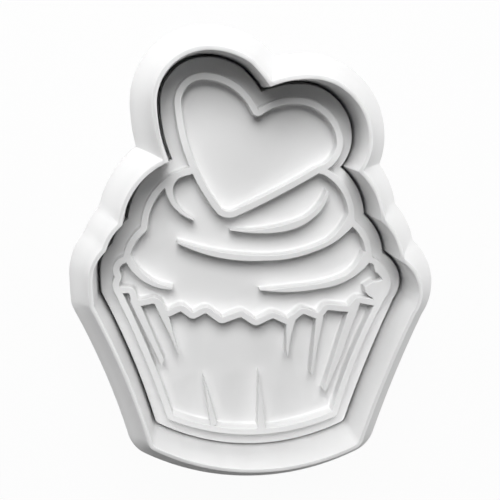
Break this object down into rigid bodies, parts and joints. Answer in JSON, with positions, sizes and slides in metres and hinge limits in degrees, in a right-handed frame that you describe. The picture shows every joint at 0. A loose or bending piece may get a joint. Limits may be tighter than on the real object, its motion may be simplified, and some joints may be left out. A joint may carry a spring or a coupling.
{
  "type": "plunger cutter",
  "caption": "Spring-loaded plunger cutter with a cupcake-and-heart outline: a sharp-edged frame cuts the dough and a sliding plate stamps its raised drawing and pushes the piece out.",
  "frame": {"origin": "on the plunger's axis, in the flat face of the push knob that the cutter stands on", "axes": "+Z along the plunger's axis from the knob to the cutting edge, +Y towards the top of the drawing (the heart), +X to the drawing's right as seen from the cutting side"},
  "size_m": [0.0715, 0.0898, 0.043],
  "materials": {
    "body_plastic": "matt white",
    "bush_plastic": "smooth natural",
    "spring_steel": "drawn wire",
    "screw_steel": "plain stainless"
  },
  "bodies": {
    "cutter": {"cutter_body": "body_plastic", "back_cover": "body_plastic", "cover_screws": "screw_steel", "guide_bush": "bush_plastic", "return_spring": "spring_steel"},
    "plunger": {"stamp_plate": "body_plastic", "plunger_rod": "body_plastic", "plate_screws": "screw_steel", "push_knob": "body_plastic", "knob_screw": "screw_steel", "knob_cap": "body_plastic", "spring_washer": "screw_steel"}
  },
  "joints": [
    {"name": "plunger_slide", "type": "slide", "parent": "cutter", "child": "plunger", "axis": [0, 0, 1], "range_m": [0, 0.0075], "stiffness_N_per_m": 550, "springref_m": -0.005, "deforming": ["return_spring"]}
  ]
}
